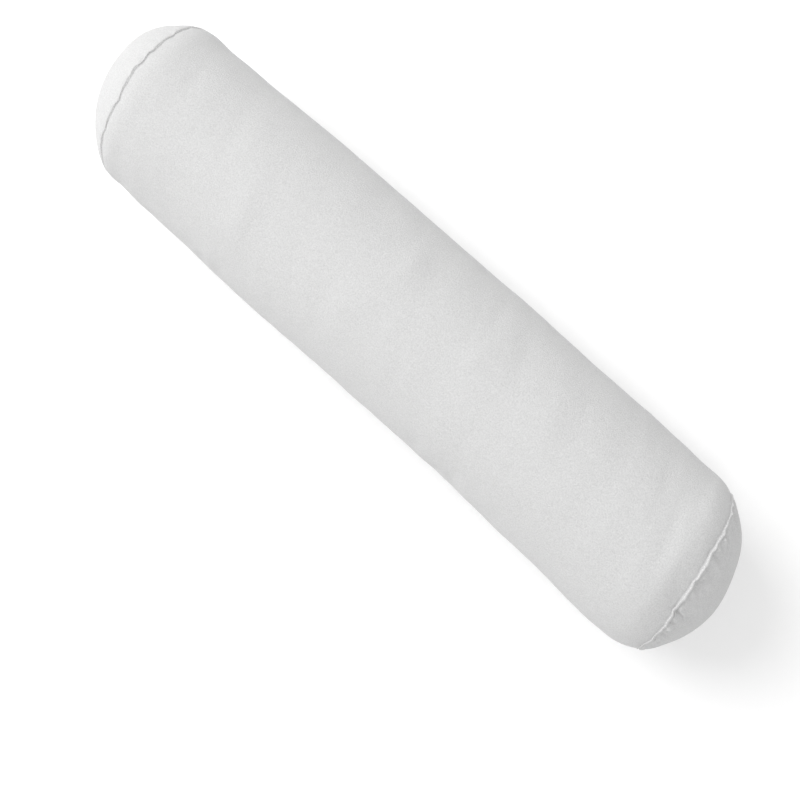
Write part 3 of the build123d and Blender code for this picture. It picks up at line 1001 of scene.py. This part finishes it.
def make_ring_stitches(side):
    """Row of stitches through the lip of a ring seam, seen on both of its faces."""
    seam = seam_rows[side]
    name = end_names[side]
    faces_of_lip = []
    for towards in (-1, 1):
        path = lip_row(seam, towards, stitch_height, stitch_gap)
        ups = towards * seam_sides[seam][0]
        faces_of_lip.append(stitches(path, ups, 0.0028, thread_diameter, closed=True, wander=0.00004))
    points, faces = joined(faces_of_lip)
    return new_piece(f"end_seam_stitches_{name}", points, faces, "thread", [f"end_seam_thread_{name}"])


def on_grid(points, s_places, phi):
    """Points at one angle from the zip, at these arc distances, read from a grid of points."""
    column = np.array([np.interp(phi, phi_columns, np.arange(column_count))])
    low = int(column[0])
    share = column[0] - low
    line = points[:, low] * (1 - share) + points[:, (low + 1) % column_count] * share
    return np.stack([np.interp(s_places, s_rows, line[:, axis]) for axis in range(3)], -1)


def make_side_stitches(side):
    """Stitches of the side seam, inside the cover between the zip and a ring seam."""
    name = end_names[side]
    places = side * np.linspace(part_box("side_seam_thread_right")[0].x, seam_s - 0.004, 16)
    ups = np.broadcast_to(zip_out, (len(places), 3))
    path = on_grid(cover_points, places, 0.0) - (cover_wall + 0.0003) * ups
    points, faces = stitches(path, ups, 0.0030, thread_diameter)
    return new_piece(f"side_seam_stitches_{name}", points, faces, "thread", [f"side_seam_thread_{name}"])


def make_zip_stitches(name, side):
    """Row of stitches that holds one zip tape, along the edge of the opening."""
    places = np.linspace(-opening_half_length, opening_half_length, 120)
    angle = -side * np.arcsin(zip_stitch_offset / outer_radius) % tau
    path = on_grid(cover_points, places, angle if angle < pi else angle - tau)
    up = np.array((0.0, cos(zip_turn + angle), sin(zip_turn + angle)))
    points, faces = stitches(path, np.broadcast_to(up, path.shape), 0.0030, thread_diameter, wander=0.00006)
    return new_piece(f"zip_stitches_{name}", points, faces, "thread", [f"zip_stitching_{name}"])


def make_bar_tacks():
    """Dense zigzag of thread across each end of the zip opening."""
    parts = []
    half_width, swings = 0.0058, 30
    for side in (-1, 1):
        t = np.linspace(-half_width, half_width, swings * 4 + 1)
        swing = np.abs((np.linspace(0, swings, len(t)) + 1) % 2 - 1)
        x = side * (tack_start + (tack_end - tack_start) * swing)
        radius = outer_radius + 0.00012 + 0.0001 * np.sin(swing * pi)
        path = around(x, radius, np.arcsin(t / outer_radius))
        parts.append(tube(path, np.full(len(t), 0.00019), 6, zip_out))
    points, faces = joined(parts)
    return new_piece("zip_bar_tack_zigzags", points, faces, "thread", ["zip_bar_tacks"])


def make_coil(name, side, shift):
    """Zip coil: one nylon thread wound in flattened turns, wider where it meets the other coil."""
    thread = 0.00062
    turns = int((coil_end - coil_start - thread) / coil_pitch - 0.5)
    steps = 14
    turn = np.linspace(0, turns * tau, turns * steps + 1)
    x = coil_start + thread / 2 + shift + turn / tau * coil_pitch
    middle = 0.00095
    reach = (0.0039 - thread) / 2
    across = middle + reach * np.sign(np.cos(turn)) * np.abs(np.cos(turn)) ** 0.75
    rise = (coil_bottom + coil_top) / 2 + (coil_top - coil_bottom - thread) / 2 * np.sin(turn)
    head = 1 + 0.16 * hump(np.cos(turn) + 1, 0.35)
    t = side * across
    lower = np.array((0.0, sin(zip_turn), -cos(zip_turn)))
    path = axis_point + x[:, None] * np.array((1.0, 0.0, 0.0)) + t[:, None] * lower + rise[:, None] * zip_out
    points, faces = tube(path, head * thread / 2, 6, (1.0, 0.0, 0.0))
    return new_piece(f"zip_coil_winding_{name}", points, faces, "zip_coil", [f"zip_coil_{name}"])


# ---- Lined cushion ----

every_other = np.arange(0, column_count, 2)
pole_rise = 0.0001           # how far a pole stands out past the last row


def ripple(scale, size):
    """Small uneven dents, as numbers from 0 to size."""
    return size * np.clip(0.5 + at_points(lambda place: noise.noise(place * scale)), 0, 1)


def shell(rows, wall):
    """Rows of outer points as a closed skin: the same rows again, moved in, join both open edges."""
    outer = np.array(rows)
    inner = outer - wall * surface_normals(outer)
    return np.concatenate((outer, inner[::-1]))


def looped_faces(rows, columns):
    """Faces between rows, and from the last row back to the first."""
    faces = grid_faces(rows + 1, columns)
    return faces % (rows * columns)


def make_liner_body(layer):
    rows = range(left_seam, right_seam + 1)
    skin = shell([layer[row] for row in rows], liner_wall)[:, every_other]
    faces = looped_faces(len(skin), len(every_other))
    places = np.concatenate((s_rows[left_seam:right_seam + 1], s_rows[left_seam:right_seam + 1][::-1]))
    uv = tube_uv(places, phi_columns[every_other], faces)
    return new_piece(
        "liner_body_cloth", skin.reshape(-1, 3), faces, "liner_fabric", ["liner_body"], uv=uv, sharp=50
    )


def make_liner_end(layer, side):
    """Round end panel of the liner. Both skins close at the pole and meet at the ring seam."""
    name = end_names[side]
    seam = seam_rows[side]
    rows = range(seam, row_count) if side > 0 else range(0, seam + 1)
    outer = np.array([layer[row] for row in rows])
    inner = outer - liner_wall * surface_normals(outer)
    there, back = (outer, s_rows[rows]), (inner[::-1], s_rows[rows][::-1])
    order = (back, there) if side > 0 else (there, back)
    skin, places = (np.concatenate(parts) for parts in zip(*order))
    skin = skin[:, every_other]
    poles = [ring.mean(axis=0) + (side * pole_rise, 0, 0) for ring in (skin[0], skin[-1])]
    points, faces = close_ends(skin, poles)
    uv = disc_uv(places, phi_columns[every_other], faces, 2)
    return new_piece(
        f"liner_end_cloth_{name}", points, faces, "liner_fabric", [f"liner_end_{name}"], uv=uv, sharp=50
    )


def make_liner_ring_stitches(layer, side):
    name = end_names[side]
    seam = seam_rows[side]
    ups = surface_normals(layer)[seam]
    points, faces = stitches(layer[seam], ups, 0.0032, thread_diameter, closed=True)
    return new_piece(f"liner_seam_stitches_{name}", points, faces, "thread", [f"liner_seam_thread_{name}"])


def make_liner_side_stitches(layer):
    places = np.linspace(-seam_s + 0.003, seam_s - 0.003, 160)
    path = on_grid(layer, places, pi)
    ups = np.broadcast_to(-zip_out, path.shape)
    points, faces = stitches(path, ups, 0.0032, thread_diameter)
    return new_piece("liner_side_stitches", points, faces, "thread", ["liner_side_thread"])


def wadding_edge():
    """Arc distance where the wadding wrap ends, level with the foam core's end."""
    turn = np.arcsin((core_half_length - shoulder_x) / (shoulder_bend - wadding_inset))
    return shoulder_x + shoulder_bend * turn


def make_wadding_wrap(layer):
    """Wadding rolled round the foam core, open at both ends."""
    edge = wadding_edge()
    inside = [row for row in range(row_count) if abs(s_rows[row]) < edge - 0.0005]
    rows = [row_at(layer, -edge)] + [layer[row] for row in inside] + [row_at(layer, edge)]
    bore_x = np.linspace(core_half_length, -core_half_length, 40)
    bore = [around(x, core_radius + core_gap, phi_columns) for x in bore_x]
    skin = np.array(rows + bore)[:, every_other]
    faces = looped_faces(len(skin), len(every_other))
    return new_piece("wadding_wrap_roll", skin.reshape(-1, 3), faces, "wadding", ["wadding_wrap"], sharp=60)


def make_wadding_end(layer, side):
    """Domed pad of wadding at one end of the foam core."""
    name = end_names[side]
    edge = wadding_edge() + core_gap
    flat_x = side * (core_half_length + core_gap)
    disc = [around(flat_x, radius, phi_columns) for radius in (0.012, 0.030, 0.048, core_radius)]
    dome = [layer[row] for row in range(row_count) if side * s_rows[row] > edge + 0.0005]
    rim = row_at(layer, side * edge)
    if side > 0:
        rows = disc + [rim] + dome
    else:
        rows = dome + [rim] + disc[::-1]
    skin = np.array(rows)[:, every_other]
    dome_ring = skin[-1 if side > 0 else 0]
    poles = [np.array((flat_x, 0, axis_height)), dome_ring.mean(axis=0) + (side * pole_rise, 0, 0)]
    points, faces = close_ends(skin, poles[::side])
    return new_piece(f"wadding_end_pad_{name}", points, faces, "wadding", [f"wadding_end_{name}"], sharp=60)


def make_foam_core():
    """Foam cylinder with the faint flats and steps that its cutting wire leaves."""
    angles = phi_columns[np.arange(0, column_count, 3)]
    chamfer = 0.0012
    x_body = np.linspace(-core_half_length + chamfer, core_half_length - chamfer, 60)
    rings = []
    for radius in (0.020, 0.040, core_radius - chamfer):
        rings.append(around(-core_half_length, radius, angles))
    for x in x_body:
        cut = 0.00035 * (0.5 + 0.5 * np.cos(24 * angles + 14 * x)) + 0.0002 * (1 + np.sin(x * 260))
        rings.append(around(x, core_radius - cut, angles))
    for radius in (core_radius - chamfer, 0.040, 0.020):
        rings.append(around(core_half_length, radius, angles))
    poles = [(-core_half_length, 0, axis_height), (core_half_length, 0, axis_height)]
    points, faces = close_ends(np.array(rings), poles)
    return new_piece("foam_core_block", points, faces, "foam", ["foam_core"], sharp=40)


# ---- Assemble ----

make_cover_body()
for side in (-1, 1):
    make_cover_end(side)
    make_ring_stitches(side)
    make_side_stitches(side)
make_zip_stitches("upper", -1)
make_zip_stitches("lower", 1)
make_bar_tacks()
make_coil("upper", -1, 0.0)
make_coil("lower", 1, coil_pitch / 2)

liner_layer = inner_layer(liner_inset, liner_flat, ripple(60, 0.0002))
wadding_layer = inner_layer(wadding_inset, wadding_flat, ripple(90, 0.0007))
make_liner_body(liner_layer)
make_liner_side_stitches(liner_layer)
make_wadding_wrap(wadding_layer)
for side in (-1, 1):
    make_liner_end(liner_layer, side)
    make_liner_ring_stitches(liner_layer, side)
    make_wadding_end(wadding_layer, side)
make_foam_core()

carried_over = {
    "zip_tape": ("zip_tape_upper", "zip_tape_lower"),
    "zip_metal": ("zip_bottom_stop", "zip_top_stops", "zip_slider", "zip_pull"),
}
for slot, nodes in carried_over.items():
    for node in nodes:
        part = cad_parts[node]
        part.data.materials.clear()
        part.data.materials.append(materials[slot])


# ---- Floor, light and camera ----

def make_floor():
    """Plain pale floor: a flat sheet much larger than the pillow, just under it."""
    mesh = bpy.data.meshes.new("floor")
    reach, drop = 6.0, 0.0002
    corners = [(x * reach, y * reach, -drop) for x, y in ((-1, -1), (1, -1), (1, 1), (-1, 1))]
    mesh.from_pydata(corners, [], [(0, 1, 2, 3)])
    material, tree, solid = start_material("floor")
    grain = noise_texture(tree, solid, 40.0)
    mesh.materials.append(
        finish_material(material, ((0.98, 0.98, 0.98), (0.99, 0.99, 0.99)), grain, grain, 0.00005, 0.9)
    )
    floor = bpy.data.objects.new("floor", mesh)
    bpy.context.scene.collection.objects.link(floor)


def make_lamp(name, place, target, size, power):
    lamp = bpy.data.lights.new(name, "AREA")
    lamp.shape = "DISK"
    lamp.size = size
    lamp.energy = power
    holder = bpy.data.objects.new(name, lamp)
    holder.location = place
    holder.rotation_euler = (Vector(target) - Vector(place)).to_track_quat("-Z", "Y").to_euler()
    bpy.context.scene.collection.objects.link(holder)


def make_light():
    world = bpy.data.worlds.new("studio")
    world.use_nodes = True
    world.node_tree.nodes["Background"].inputs["Color"].default_value = (1.0, 1.0, 1.0, 1.0)
    world.node_tree.nodes["Background"].inputs["Strength"].default_value = 0.68
    bpy.context.scene.world = world
    make_lamp("key", (-3.34, -0.52, 2.94), (0.0, 0.0, 0.05), 3.6, 137.0)
    make_lamp("fill", (0.3, -0.5, 2.6), (0.1, 0.0, 0.05), 0.8, 12.0)
    bpy.context.scene.view_settings.view_transform = "Standard"


def make_camera():
    """Nearly overhead camera, turned so that the pillow runs from upper left to lower right."""
    camera = bpy.data.cameras.new("camera")
    camera.sensor_width = 36.0
    camera.lens = 56.5
    camera.clip_start = 0.01
    holder = bpy.data.objects.new("camera", camera)
    aim = Euler((radians(7.6), 0.0, radians(42.19)), "XYZ")
    pillow_in_view = Vector((0.01006, 0.05822, -1.03327))
    holder.rotation_euler = aim
    holder.location = Vector((0.0, 0.0, axis_height)) - aim.to_matrix() @ pillow_in_view
    bpy.context.scene.collection.objects.link(holder)
    bpy.context.scene.camera = holder


make_floor()
make_light()
make_camera()
